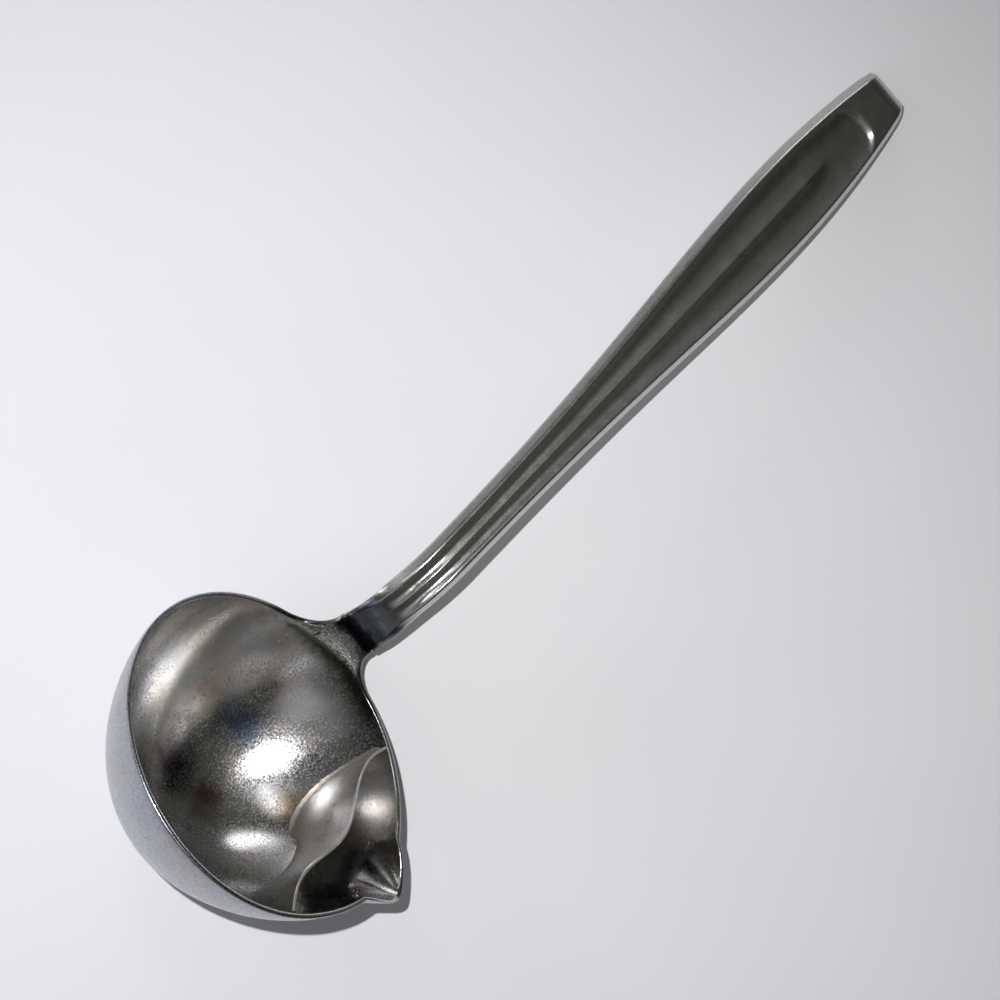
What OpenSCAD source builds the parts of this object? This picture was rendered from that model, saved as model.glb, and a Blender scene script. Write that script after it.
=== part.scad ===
// Gravy ladle that keeps the fat back: a pressed round bowl with a side spout, a curved
// divider brazed across the bowl in front of the spout, and a fluted channel handle whose
// end is turned down as a hook. The ladle lies as it does on a table, on the round of its
// bowl and a corner of its hook, with the handle along +X and the spout towards -Y.
// Inside the file each piece is drawn in the bowl's own frame: the middle of the rim is
// the origin, +Z is out of the bowl, +X is towards the handle and -Y is towards the spout.

/* [Bowl] */
// Outer diameter of the bowl at its rim
bowl_d = 90; // [74:1:116]
// Outer depth of the bowl below its rim
bowl_depth = 44.5; // [38:0.5:52]
// Roundness of the wall from rim to bottom: 2 is an even round, less is steeper low down
bowl_round = 1.35; // [1.2:0.05:2]
// Thickness of the bowl's pressed sheet
bowl_wall = 1.4; // [1:0.1:2]

/* [Spout] */
// How far the tip of the lip stands out past the round of the rim
spout_reach = 11; // [7:0.2:12]
// Width between the two creases where the spout leaves the round of the rim
spout_w = 52; // [46:1:58]
// How far the creases at the edges of the channel stand out past the round of the rim
spout_shoulder = 0.9; // [0.4:0.1:1.6]
// How far the tip of the lip dips below the rim
spout_dip = 3.2; // [0:0.2:5]
// Height over which the lip runs back into the bowl's wall
lip_drop = 12.5; // [10:0.5:14]
// How far the pouring channel below the lip is pressed out of the wall
channel_relief = 2.5; // [1:0.1:3.5]
// Width of the lip and of the pouring channel between their two creases
channel_w = 24; // [20:1:30]
// Depth below the rim at which the channel has run out
channel_drop = 27; // [22:0.5:30]

/* [Divider] */
// Thickness of the divider plate
divider_t = 0.8; // [0.6:0.1:1.2]
// Distance from the bowl's axis to the middle of the divider
divider_out = 30; // [27:0.5:33]
// How far the divider's shoulders lie back from its middle, towards the bowl's axis
divider_crown = 4.6; // [2:0.2:6]
// Distance of each shoulder from the divider's middle line
divider_shoulder = 23; // [20:0.5:26]
// How far the divider's ends turn towards the spout again, past the shoulders
divider_flare = 2.6; // [1:0.2:4]
// How far the divider's top edge lies below the rim
divider_inset = 0.3; // [0.2:0.1:2]
// Width of the passage under the middle of the divider
passage_w = 24; // [16:1:32]
// Height of the passage above the bowl's inner wall
passage_h = 4.6; // [4.4:0.2:7]
// Gap left for the brazing metal between the divider and the wall
braze_gap = 0.15; // [0.1:0.05:0.3]
// Leg of the braze fillets that hold the divider
braze_leg = 2; // [1.2:0.1:3]

/* [Neck] */
// Width of the neck that rises from the rim
neck_w = 13; // [10:0.5:18]
// Radius of the fillets between the neck and the rim
neck_fillet = 10; // [5:0.5:10]
// Height of the neck above the rim at its weld
neck_h = 11; // [10:0.5:16]
// Height of the weld seam
seam_h = 0.8; // [0.5:0.1:1.5]
// How far the seam's bead stands proud of the neck
seam_crown = 0.3; // [0.1:0.1:0.5]

/* [Handle] */
// Thickness of the handle's pressed sheet
handle_wall = 1.3; // [1:0.1:1.8]
// Straight length above the weld before the neck starts to bend
neck_straight = 4; // [2:1:12]
// Radius of the bend between the neck and the handle
bend_r = 35; // [20:1:45]
// Slope of the handle above the rim plane, at the end of the bend
slope_low = 38.5; // [30:0.5:50]
// Slope of the handle above the rim plane, at its hook
slope_high = 33.6; // [26:0.5:48]
// Length of the handle from the bend to its hook
handle_len = 178.5; // [130:0.5:220]
// Width of the handle over its flanges at the narrow end
waist_w = 12.6; // [11:0.1:16]
// Width of the handle over its flanges at its widest place
grip_w = 24; // [18:0.5:30]
// Distance from the widest place to the hook
grip_back = 43; // [30:1:60]
// Depth of the two flutes below their crests
flute_depth = 1.1; // [0.5:0.1:1.6]
// Distance from the end of the flutes to the hook
flute_back = 8; // [5:0.5:12]
// How far the flutes' rounded ends draw back at the side crests
flute_arc = 5; // [3:0.5:9]
// Distance from the place where the two flutes start to run together to the hook
flute_merge = 34; // [20:1:60]
// Length of the flanges that are folded down at both sides
flange_len = 3.1; // [2:0.1:3.4]
// Angle by which the flanges are folded down
flange_fold = 56; // [45:1:65]

/* [Hook] */
// Outer radius of the hook's bend
hook_r = 6; // [5:0.1:9]
// Angle by which the end is turned down
hook_turn = 100; // [80:1:120]
// Straight length of the hook past its bend
hook_tip = 2.5; // [2:0.5:10]
// Width of the hook at its tip
hook_w = 12; // [9:0.5:15]

/* [Rest] */
// Roll of the ladle towards its heavier spout side, as it comes to lie
rest_roll = 4; // [0:0.5:15]

/* [Hidden] */

// Derived sizes of the bowl
outer_r = bowl_d / 2;
inner_r = outer_r - bowl_wall;
inner_depth = bowl_depth - bowl_wall;
lip_start = spout_dip / 2;
tip_out = spout_reach - channel_relief - spout_shoulder;
neck_half = neck_w / 2;

// Fineness of the faceted shells
wall_rings = 16;
rim_hold = 8;
lug_cols = 2;
fillet_cols = 6;
fillet_crowding = 2;
long_cols = 40;
wing_cols = 5;
lip_cols = 8;
short_cols = 8;

// Small helpers
function clamp(v, lo, hi) = min(max(v, lo), hi);
function ease(t) = (1 - cos(180 * clamp(t, 0, 1))) / 2;
function mix(a, b, t) = a + (b - a) * t;
function flip(v) = [for (i = [len(v) - 1:-1:0]) v[i]];
function unit(v) = v / norm(v);
function radians(a) = a * PI / 180;
function steps(a, b, n) = [for (i = [0:n - 1]) mix(a, b, i / n)];

// Triangles between rings of equal length, each ring clockwise seen along the sweep
function skin_faces(count, n) = [
    for (k = [0:count - 2])
        for (i = [0:n - 1])
            for (half = [0, 1])
                half == 0 ?
                    [k * n + i, (k + 1) * n + (i + 1) % n, k * n + (i + 1) % n] :
                    [k * n + i, (k + 1) * n + i, (k + 1) * n + (i + 1) % n]];

// Triangles that close the ring starting at point first onto the point hub
function fan_faces(first, n, hub, forward) = [
    for (i = [0:n - 1])
        forward ? [first + i, first + (i + 1) % n, hub] : [first + (i + 1) % n, first + i, hub]];

// A closed solid through rings of equal length, with flat ends
module sweep(rings) {
    n = len(rings[0]);
    count = len(rings);
    start_cap = [for (i = [0:n - 1]) i];
    end_cap = [for (i = [n:-1:1]) (count - 1) * n + i % n];
    polyhedron(
        points = [for (ring = rings) each ring],
        faces = concat(skin_faces(count, n), [start_cap, end_cap]),
        convexity = 10);
}

// The spout: a lip creased down its middle and at its edges, a low wing on each side that
// runs out to the round of the rim, and the channel that goes on below the lip
function vee(x) = max(0, 1 - abs(2 * x / channel_w));
function wing(x) = clamp((spout_w - abs(2 * x)) / (spout_w - channel_w), 0, 1);
function fade(z, from, to) = 1 - ease((-z - from) / (to - from));
function lip_out(x, z) = fade(z, lip_start, lip_drop) * (tip_out * vee(x) + spout_shoulder * wing(x));
function channel_out(x, z) = fade(z, lip_drop, channel_drop) * channel_relief * vee(x);
function spout_out(x, z) = lip_out(x, z) + channel_out(x, z);
function lip_dip(x) = abs(x) < channel_w / 2 ? spout_dip * pow(cos(180 * x / channel_w), 2) : 0;

// Height of the rim: level all round, dipped at the lip and raised as the neck
function fillet_z(y) = neck_fillet - sqrt(pow(neck_fillet, 2) - pow(neck_half + neck_fillet - y, 2));
function neck_z(y) =
    y <= neck_half ? neck_h :
    y < neck_half + neck_fillet ? fillet_z(y) : 0;
function rim_z(az) =
    let (y = abs(sin(az)) * outer_r)
    cos(az) > 0 && y < neck_half + neck_fillet ? neck_z(y) :
    sin(az) < 0 ? -lip_dip(outer_r * cos(az)) : 0;

// A point of the bowl's wall at azimuth az, on the shell of radius r and depth d
function shell_r(r, d, z) = z < 0 ? r * sqrt(1 - pow(-z / d, bowl_round)) : r;
function wall_point(az, t, r, d) =
    let (z = -d * cos(90 * t) + rim_z(az) * pow(t, rim_hold))
    let (rr = shell_r(r, d, z))
    let (push = sin(az) < 0 ? spout_out(rr * cos(az), z) : 0)
    [rr * cos(az), rr * sin(az) - push, z];

// Azimuths of the wall's columns, close together at the neck, and with one on each crease
function neck_az(y) = asin(y / outer_r);
fillet_az = neck_az(neck_half + neck_fillet);
spout_az = asin(spout_w / 2 / outer_r);
lip_az = asin(channel_w / 2 / outer_r);
neck_side = concat(
    [for (i = [1:lug_cols]) neck_az(neck_half * i / lug_cols)],
    [for (i = [1:fillet_cols]) neck_az(neck_half + neck_fillet * pow(i / fillet_cols, fillet_crowding))]);
columns = concat(
    [0],
    neck_side,
    [for (i = [1:long_cols]) mix(fillet_az, 270 - spout_az, i / long_cols)],
    [for (i = [1:wing_cols]) mix(270 - spout_az, 270 - lip_az, i / wing_cols)],
    [for (i = [1:2 * lip_cols]) mix(270 - lip_az, 270 + lip_az, i / (2 * lip_cols))],
    [for (i = [1:wing_cols]) mix(270 + lip_az, 270 + spout_az, i / wing_cols)],
    [for (i = [1:short_cols - 1]) mix(270 + spout_az, 360 - fillet_az, i / short_cols)],
    [for (a = flip(neck_side)) 360 - a]);

module bowl() {
    n = len(columns);
    count = 2 * wall_rings;
    outer = [
        for (k = [1:wall_rings])
            for (az = columns) wall_point(az, k / wall_rings, outer_r, bowl_depth)];
    inner = [
        for (k = [wall_rings:-1:1])
            for (az = columns) wall_point(az, k / wall_rings, inner_r, inner_depth)];
    poles = [[0, 0, -bowl_depth], [0, 0, -inner_depth]];
    faces = concat(
        skin_faces(count, n),
        fan_faces(0, n, count * n, true),
        fan_faces((count - 1) * n, n, count * n + 1, false));
    color("silver")
        polyhedron(points = concat(outer, inner, poles), faces = faces, convexity = 10);
}

// Fineness of the divider and its braze, and small steps along them
plate_cols = 24;
plate_rows = 5;
plan_step = 0.1;
halvings = 24;
braze_rings = 18;
braze_step = 0.01;

// The divider's flared ends, its blunt tips, its crowned top edge and the sides of the arch
flare_run = 10;
end_edge = 1.5;
edge_crown = 0.15;
passage_ramp = 5;

// The braze stands this far off both pieces, sags inwards, and stops short of the ends
braze_skin = 0.08;
braze_sag = 0.35;
braze_end = 0.97;
passage_margin = 0.5;

// The divider in plan: crowned towards the spout, drawn back at its shoulders, and flared
// towards the spout again where it meets the wall
seat_r = inner_r - braze_gap;
seat_depth = inner_depth - braze_gap;
function divider_y(x) =
    let (past = abs(x) - divider_shoulder)
    past < 0 ?
        -divider_out + divider_crown * ease(abs(x) / divider_shoulder) :
        -divider_out + divider_crown - divider_flare * (1 - cos(90 * min(past / flare_run, 1)));

// Direction square to the plate in plan, towards the middle of the bowl
function divider_normal(x) = unit([divider_y(x - plan_step) - divider_y(x + plan_step), 2 * plan_step]);
function face_xy(x, side) = [x, divider_y(x)] + side * divider_t / 2 * divider_normal(x);

// Height at which a plan point of the plate meets the bowl's inner wall
function seat_z(p) = -seat_depth * pow(max(0, 1 - pow(norm(p) / seat_r, 2)), 1 / bowl_round);

// The plate's top edge and its lower edge, which is arched up over the passage
divider_top = -divider_inset;
function arch(x) = passage_h * ease((passage_w / 2 - abs(x)) / passage_ramp);
function plate_low(x, side) = min(seat_z(face_xy(x, side)) + arch(x), divider_top - end_edge);
function plate_point(x, side, t) =
    let (p = face_xy(x, side))
    [p[0], p[1], mix(divider_top, plate_low(x, side), t)];

// Half length of the plate: where its seat on the wall comes up to the blunt tip
function plate_half(lo, hi, n) =
    let (mid = (lo + hi) / 2)
    let (tall = seat_z([mid, divider_y(mid)]) < divider_top - end_edge)
    n == 0 ? mid :
    tall ? plate_half(mid, hi, n - 1) : plate_half(lo, mid, n - 1);
divider_half = plate_half(divider_shoulder, inner_r, halvings);
function plate_x(t) = divider_half * sin(90 * t);

module divider() {
    rings = [
        for (i = [-plate_cols:plate_cols])
            let (x = plate_x(i / plate_cols))
            concat(
                [[x, divider_y(x), divider_top + edge_crown]],
                [for (k = [0:plate_rows]) plate_point(x, -1, k / plate_rows)],
                [for (k = [plate_rows:-1:0]) plate_point(x, 1, k / plate_rows)])];
    color("gainsboro")
        sweep(rings);
}

// Brazing metal in the corner between the divider's inner face and the wall
function seat_point(x) = plate_point(x, 1, 1);
function wall_rise(deep) = bowl_round / 2 * pow(deep, bowl_round - 1);
function wall_normal(p) =
    let (rise = wall_rise(-p[2] / seat_depth) * pow(seat_r, 2) / seat_depth)
    unit([-p[0], -p[1], rise]);
function braze_ring(t, hand) =
    let (p = seat_point(hand * plate_x(t)))
    let (ahead = seat_point(hand * plate_x(t + braze_step)))
    let (behind = seat_point(hand * plate_x(t - braze_step)))
    let (plan = divider_normal(p[0]))
    let (plate_n = [plan[0], plan[1], 0])
    let (wall_n = wall_normal(p))
    let (up = hand * unit(cross(ahead - behind, plate_n)))
    let (out = unit(plate_n - (plate_n * wall_n) * wall_n))
    let (root = p + braze_skin * (plate_n + wall_n))
    [root, root + braze_leg * up, root + braze_sag * braze_leg * (up + out), root + braze_leg * out];
module braze(hand) {
    start = asin((passage_w / 2 + passage_margin) / divider_half) / 90;
    rings = [for (i = [0:braze_rings]) braze_ring(mix(start, braze_end, i / braze_rings), hand)];
    color("lightgray")
        sweep(hand > 0 ? flip(rings) : rings);
}

// The butt weld between the neck and the handle, with a bead that stands a little proud
weld_cols = 8;
function weld_ring(t) =
    let (crown = seam_crown * sin(180 * t))
    let (z = neck_h + seam_h * t)
    let (half = neck_half + crown)
    concat(
        [for (i = [0:weld_cols])
            let (y = mix(-half, half, i / weld_cols))
            [sqrt(pow(outer_r, 2) - y * y) + crown, y, z]],
        [for (i = [weld_cols:-1:0])
            let (y = mix(-half, half, i / weld_cols))
            [sqrt(pow(inner_r, 2) - y * y) - crown, y, z]]);
weld_steps = 4;
module neck_weld() {
    color("darkgray")
        sweep([for (k = [0:weld_steps]) weld_ring(k / weld_steps)]);
}

// The handle's path along its middle crest, as lengths and the angles they turn down by
path_parts = [
    [neck_straight, 0],
    [bend_r * radians(90 - slope_low), 90 - slope_low],
    [handle_len, slope_low - slope_high],
    [hook_r * radians(hook_turn), hook_turn],
    [hook_tip, 0]];
path_start = [inner_r, neck_h + seam_h, 90];
bend_end = path_parts[0][0] + path_parts[1][0];
hook_start = bend_end + handle_len;
hook_end = hook_start + path_parts[3][0];
path_end = hook_end + hook_tip;

// Moves a place [x, z, slope] on by length s along an arc that turns down by angle a
function advance(at, s, a) =
    a == 0 ?
        [at[0] + s * cos(at[2]), at[1] + s * sin(at[2]), at[2]] :
        let (r = s / radians(a))
        [at[0] + r * (sin(at[2]) - sin(at[2] - a)), at[1] + r * (cos(at[2] - a) - cos(at[2])), at[2] - a];
function path_at(s, i = 0, at = path_start) =
    let (part = path_parts[i])
    s <= part[0] || i == len(path_parts) - 1 ?
        advance(at, s, part[1] * s / part[0]) :
        path_at(s - part[0], i + 1, advance(at, part[0], part[1]));

// How the section changes along the path: its width over the flanges and their fold
fold_run = 20;
fold_r = 0.8;
edge_fold = 3;
edge_len = 1.2;
tip_fold = 30;
waist_at = 12;
grip_growth = 1.6;
end_taper = 2;
flute_at = 11;
flute_run = 12;
flute_step = 2.5;
merge_run = 10;
grip_at = hook_start - grip_back;
function fold(s) =
    s < hook_start ? mix(edge_fold, flange_fold, ease(s / fold_run)) :
    mix(flange_fold, tip_fold, ease((s - hook_start) / (hook_end - hook_start)));
function flank(s) =
    s < hook_start ? mix(edge_len, flange_len, ease(s / fold_run)) :
    mix(flange_len, edge_len, ease((s - hook_start) / (hook_end - hook_start)));
function half_width(s) =
    s < waist_at ? mix(neck_half, waist_w / 2, ease(s / waist_at)) :
    s < grip_at ?
        mix(waist_w / 2, grip_w / 2, ease(pow((s - waist_at) / (grip_at - waist_at), grip_growth))) :
    mix(grip_w / 2, hook_w / 2, pow((s - grip_at) / (path_end - grip_at), end_taper));
function crest_half(s) = half_width(s) - fold_r * sin(fold(s)) - flank(s) * cos(fold(s));

// Depth of the surface below the crests, at the share u of the way out to a side crest: two
// flutes, which run together into one flat dish with a rounded end
function two_flutes(u) = 1 - pow(2 * abs(u) - 1, 2);
function one_dish(u) = 1 - pow(u, 4);
function flute_end(u) = hook_start - flute_back - flute_arc * pow(u, 4);
function flute(s, u) =
    flute_depth
        * mix(two_flutes(u), one_dish(u), ease((s - hook_start + flute_merge) / merge_run))
        * ease((s - flute_at) / flute_run)
        * ease((flute_end(u) - s) / flute_step);

// Half of a section from crest to flange tip, outside and inside, as [y, height] points
function outer_flank(s) =
    let (w = crest_half(s))
    let (f = fold(s))
    let (bend = [for (a = [f / 2, f]) [w + fold_r * sin(a), fold_r * (cos(a) - 1)]])
    concat(bend, [bend[1] + flank(s) * [cos(f), -sin(f)]]);
function inner_flank(s) =
    let (f = fold(s))
    outer_flank(s)[2] - handle_wall * [sin(f), cos(f)];
function under_half(s) = crest_half(s) - (handle_wall - fold_r) * tan(fold(s) / 2);

// A whole section: over the top from the left flange's tip to the right one's, and back
flute_cols = 6;
function mirrored(p) = [-p[0], p[1]];
function section(s) =
    let (w = crest_half(s))
    let (under = under_half(s))
    let (left = outer_flank(s))
    concat(
        flip(left),
        [for (i = [flute_cols:-1:-flute_cols]) [w * i / flute_cols, -flute(s, i / flute_cols)]],
        [for (p = left) mirrored(p)],
        [mirrored(inner_flank(s))],
        [for (i = [-flute_cols:flute_cols])
            [under * i / flute_cols, -handle_wall - flute(s, i / flute_cols)]],
        [inner_flank(s)]);

// At the weld the section has the round of the bowl's wall
function neck_curl(s, y) = (1 - ease(s / fold_run)) * (inner_r - sqrt(pow(inner_r, 2) - y * y));
function placed_section(s) =
    let (at = path_at(s))
    [for (p = section(s))
        let (h = p[1] + neck_curl(s, p[0]))
        [at[0] - sin(at[2]) * h, p[0], at[1] + cos(at[2]) * h]];

// Places of the sections, close together where the flutes end and at the hook
fine_at = hook_start - flute_back - flute_arc - flute_step;
straight_cols = 2;
bend_cols = 14;
grip_cols = 32;
fine_cols = 16;
hook_cols = 9;
hook_stations = concat(steps(hook_start, hook_end, hook_cols), [hook_end, path_end]);
stations = concat(
    steps(0, neck_straight, straight_cols),
    steps(neck_straight, bend_end, bend_cols),
    steps(bend_end, fine_at, grip_cols),
    steps(fine_at, hook_start, fine_cols),
    hook_stations);

module handle() {
    color("darkgray")
        sweep([for (s = stations) placed_section(s)]);
}

// The ladle at rest: tilted until its hook and the lowest point of its bowl touch the table
least_tilt = 20;
most_tilt = 80;
hook_points = [for (s = hook_stations) each placed_section(s)];
function up_dir(tilt) = [-sin(tilt) * cos(rest_roll), sin(rest_roll), cos(tilt) * cos(rest_roll)];
function low_share(up, lo, hi, n) =
    let (mid = (lo + hi) / 2)
    let (lean = norm([up[0], up[1]]) * outer_r * wall_rise(mid) / sqrt(1 - pow(mid, bowl_round)))
    n == 0 ? mid :
    lean < up[2] * bowl_depth ? low_share(up, mid, hi, n - 1) : low_share(up, lo, mid, n - 1);
function low_point(up) =
    let (z = -bowl_depth * low_share(up, 0, 1, halvings))
    let (plan = -shell_r(outer_r, bowl_depth, z) * unit([up[0], up[1]]))
    [plan[0], plan[1], z];
function hook_clearance(tilt) =
    let (up = up_dir(tilt))
    min([for (p = hook_points) p * up]) - low_point(up) * up;
function tilt_between(lo, hi, n) =
    let (mid = (lo + hi) / 2)
    n == 0 ? mid :
    hook_clearance(mid) > 0 ? tilt_between(mid, hi, n - 1) : tilt_between(lo, mid, n - 1);
rest_tilt = tilt_between(least_tilt, most_tilt, halvings);
rest_up = up_dir(rest_tilt);
contact = low_point(rest_up);
module rest() {
    rotate([rest_roll, 0, 0])
        rotate([0, rest_tilt, 0])
            translate(-contact)
                children();
}

rest() bowl();
rest() divider();
rest() braze(-1);  // left_braze
rest() braze(1);  // right_braze
rest() neck_weld();
rest() handle();
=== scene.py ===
import bpy
import math
from mathutils import Euler, Matrix, Vector


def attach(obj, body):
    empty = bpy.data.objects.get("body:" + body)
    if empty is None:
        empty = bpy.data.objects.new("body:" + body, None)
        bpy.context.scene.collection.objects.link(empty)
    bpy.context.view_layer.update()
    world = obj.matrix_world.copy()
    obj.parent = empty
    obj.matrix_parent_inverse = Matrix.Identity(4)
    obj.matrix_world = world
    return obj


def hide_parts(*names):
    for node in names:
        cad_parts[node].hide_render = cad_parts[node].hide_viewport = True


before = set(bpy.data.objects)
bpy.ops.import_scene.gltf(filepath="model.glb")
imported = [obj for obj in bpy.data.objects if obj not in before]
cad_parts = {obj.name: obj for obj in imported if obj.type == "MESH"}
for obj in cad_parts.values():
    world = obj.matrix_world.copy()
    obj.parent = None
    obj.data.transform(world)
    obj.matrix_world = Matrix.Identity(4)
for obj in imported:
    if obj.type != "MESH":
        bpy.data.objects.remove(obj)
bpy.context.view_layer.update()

# Every piece is worked out in the bowl's own frame in millimetres: the middle of the rim is the
# origin, +Z is out of the bowl, +X is towards the handle and -Y towards the spout. It is then
# laid down as the ladle lies on the table and scaled to metres.


# Small helpers

def clamp(value, low, high):
    return min(max(value, low), high)


def mix(a, b, t):
    return a + (b - a) * t


def ease(t):
    return (1 - math.cos(math.pi * clamp(t, 0, 1))) / 2


def spread(a, b, count):
    return [mix(a, b, i / count) for i in range(count)]


def roundedCorner(before, corner, after, radius, count):
    # points of a small round from one side of a corner to the other
    corner, before, after = Vector(corner), Vector(before), Vector(after)
    start = corner + (before - corner).normalized() * radius
    end = corner + (after - corner).normalized() * radius
    points = []
    for i in range(count + 1):
        t = i / count
        points.append(start * (1 - t) ** 2 + corner * 2 * t * (1 - t) + end * t ** 2)
    return points


# The bowl: a pressed shell, about half as deep as it is wide, with a spout and a neck

bowlShape = {
    "outerRadius": 44.97,
    "depth": 44.5,
    "roundness": 1.35,  # 2 is an even round, less is steeper low down
    "wall": 1.4,
    "spoutReach": 12.4,  # before the tip is rounded
    "spoutWidth": 52.0,
    "spoutShoulder": 0.9,
    "spoutDip": 3.2,
    "lipDrop": 12.5,
    "channelRelief": 2.5,
    "channelWidth": 24.0,
    "channelDrop": 27.0,
    "creaseRound": 0.35,  # the press leaves the creases a little round
    "tipRound": 2.5,
    "neckWidth": 13.0,
    "neckFillet": 10.0,
    "neckHeight": 11.0,
    "rimHold": 8,  # the higher, the closer to the rim the wall's rows follow its rise and dip
    "rimRound": 0.55,
    "edgeSteps": 4,
    "wallRows": 64,
    "neckColumns": 8,
    "filletColumns": 26,
    "farColumns": 160,
    "spoutColumns": 200,
    "spoutMargin": 0.05,  # radians past the spout's outer creases
    "nearColumns": 24,
}
innerRadius = bowlShape["outerRadius"] - bowlShape["wall"]
innerDepth = bowlShape["depth"] - bowlShape["wall"]
neckHalf = bowlShape["neckWidth"] / 2


def slopeUpTo(past):
    # rises evenly inside a crease and is flat outside it, rounded by the crease's radius
    return (math.hypot(past, bowlShape["creaseRound"]) - past) / 2


def channelVee(x):
    half = bowlShape["channelWidth"] / 2
    return slopeUpTo(math.hypot(x, bowlShape["tipRound"]) - half) / half


def spoutWing(x):
    edge, half = bowlShape["spoutWidth"] / 2, bowlShape["channelWidth"] / 2
    return (slopeUpTo(abs(x) - edge) - slopeUpTo(abs(x) - half)) / (edge - half)


def lipDip(x):
    width = bowlShape["channelWidth"]
    if abs(x) >= width / 2:
        return 0.0
    return bowlShape["spoutDip"] * math.cos(math.pi * x / width) ** 2


def fade(z, start, end):
    return 1 - ease((-z - start) / (end - start))


def spoutPush(x, z):
    # how far the wall is pressed out towards the spout
    shape = bowlShape
    lip = fade(z, shape["spoutDip"] / 2, shape["lipDrop"])
    channel = shape["channelRelief"] * fade(z, shape["lipDrop"], shape["channelDrop"])
    tipOut = shape["spoutReach"] - shape["channelRelief"] - shape["spoutShoulder"]
    lipOut = tipOut * channelVee(x) + shape["spoutShoulder"] * spoutWing(x)
    return lip * lipOut + channel * channelVee(x)


def neckRise(y):
    fillet = bowlShape["neckFillet"]
    if y <= neckHalf:
        return bowlShape["neckHeight"]
    if y < neckHalf + fillet:
        return fillet - math.sqrt(fillet ** 2 - (neckHalf + fillet - y) ** 2)
    return 0.0


def rimHeight(turn):
    side = abs(math.sin(turn)) * bowlShape["outerRadius"]
    if math.cos(turn) > 0 and side < neckHalf + bowlShape["neckFillet"]:
        return neckRise(side)
    if math.sin(turn) < 0:
        return -lipDip(bowlShape["outerRadius"] * math.cos(turn))
    return 0.0


def shellRadius(radius, depth, z):
    # distance of the shell from the bowl's axis at the height z
    if z >= 0:
        return radius
    return radius * math.sqrt(max(0.0, 1 - (-z / depth) ** bowlShape["roundness"]))


def wallPoint(turn, t, radius, depth):
    z = -depth * math.cos(math.pi / 2 * t) + rimHeight(turn) * t ** bowlShape["rimHold"]
    reach = shellRadius(radius, depth, z)
    push = spoutPush(reach * math.cos(turn), z) if math.sin(turn) < 0 else 0.0
    return Vector((reach * math.cos(turn), reach * math.sin(turn) - push, z))


def wallTurns():
    # directions of the wall's columns, close together at the neck and at the spout
    shape = bowlShape
    outer, fillet = shape["outerRadius"], shape["neckFillet"]
    necks, fillets = shape["neckColumns"], shape["filletColumns"]
    sides = [neckHalf * (i + 1) / necks for i in range(necks)]
    sides += [neckHalf + fillet * ((i + 1) / fillets) ** 2 for i in range(fillets)]
    neckSide = [math.asin(side / outer) for side in sides]
    filletEnd = neckSide[-1]
    spoutHalf = math.asin(shape["spoutWidth"] / 2 / outer) + shape["spoutMargin"]
    spoutMid = 1.5 * math.pi
    turns = [0.0] + neckSide[:-1]
    turns += spread(filletEnd, spoutMid - spoutHalf, shape["farColumns"])
    turns += spread(spoutMid - spoutHalf, spoutMid + spoutHalf, shape["spoutColumns"])
    turns += spread(spoutMid + spoutHalf, 2 * math.pi - filletEnd, shape["nearColumns"])
    turns += [2 * math.pi - turn for turn in reversed(neckSide)]
    return turns


def wallColumn(turn):
    # one column of the shell: up the outside, over the rounded rim, down the inside
    shape = bowlShape
    rises = [i / shape["wallRows"] for i in range(shape["wallRows"] + 1)]
    outside = [wallPoint(turn, t, shape["outerRadius"], shape["depth"]) for t in rises]
    inside = [wallPoint(turn, t, innerRadius, innerDepth) for t in rises]
    radius, steps = shape["rimRound"], shape["edgeSteps"]
    outerEdge = roundedCorner(outside[-2], outside[-1], inside[-1], radius, steps)
    innerEdge = roundedCorner(outside[-1], inside[-1], inside[-2], radius, steps)
    return outside[:-1] + outerEdge + innerEdge + list(reversed(inside[:-1]))


# The handle: a pressed channel with two flutes, folded flanges and a turned-down end

handleShape = {
    "wall": 1.3,
    "seamHeight": 0.8,
    "neckStraight": 4.0,
    "bendRadius": 35.0,
    "slopeLow": 38.5,  # degrees above the rim's plane after the bend
    "slopeHigh": 33.6,  # and before the hook
    "length": 178.46,
    "waistWidth": 12.6,
    "waistAt": 12.0,
    "gripWidth": 24.0,
    "gripBack": 43.0,
    "gripGrowth": 1.6,
    "endTaper": 2,
    "fluteDepth": 1.1,
    "fluteAt": 11.0,
    "fluteRun": 12.0,
    "fluteBack": 8.0,
    "fluteArc": 5.0,
    "fluteStep": 2.5,
    "fluteMerge": 34.0,  # before the hook, the two flutes begin to become one dish
    "mergeRun": 10.0,
    "dishPower": 4,
    "flangeLength": 3.1,
    "flangeFold": 56.0,
    "foldRun": 20.0,
    "foldRadius": 0.8,
    "edgeLength": 1.2,
    "edgeFold": 3.0,
    "tipFold": 30.0,
    "hookRadius": 6.0,
    "hookTurn": 100.0,
    "hookTip": 2.5,
    "hookWidth": 12.0,
    "crestRound": 0.28,  # radius that the press leaves on the middle crest
    "edgeRound": 0.3,
    "edgeSteps": 3,
    "foldSteps": 8,
    "flankSteps": 4,
    "crestSteps": 24,
    "sidePower": 8,  # keeps the crests' face level until it is close to a side crest
    "underShare": 0.999,  # the underside's flutes end just inside the side crests
    "bendRings": 36,
    "gripRings": 110,
    "dishRings": 56,
    "hookRings": 30,
    "tipRings": 5,
}
bendTurn = 90 - handleShape["slopeLow"]
pathParts = [
    (handleShape["neckStraight"], 0.0),
    (handleShape["bendRadius"] * math.radians(bendTurn), bendTurn),
    (handleShape["length"], handleShape["slopeLow"] - handleShape["slopeHigh"]),
    (handleShape["hookRadius"] * math.radians(handleShape["hookTurn"]), handleShape["hookTurn"]),
    (handleShape["hookTip"], 0.0),
]
bendEnd = pathParts[0][0] + pathParts[1][0]
hookStart = bendEnd + handleShape["length"]
hookEnd = hookStart + pathParts[3][0]
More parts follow.
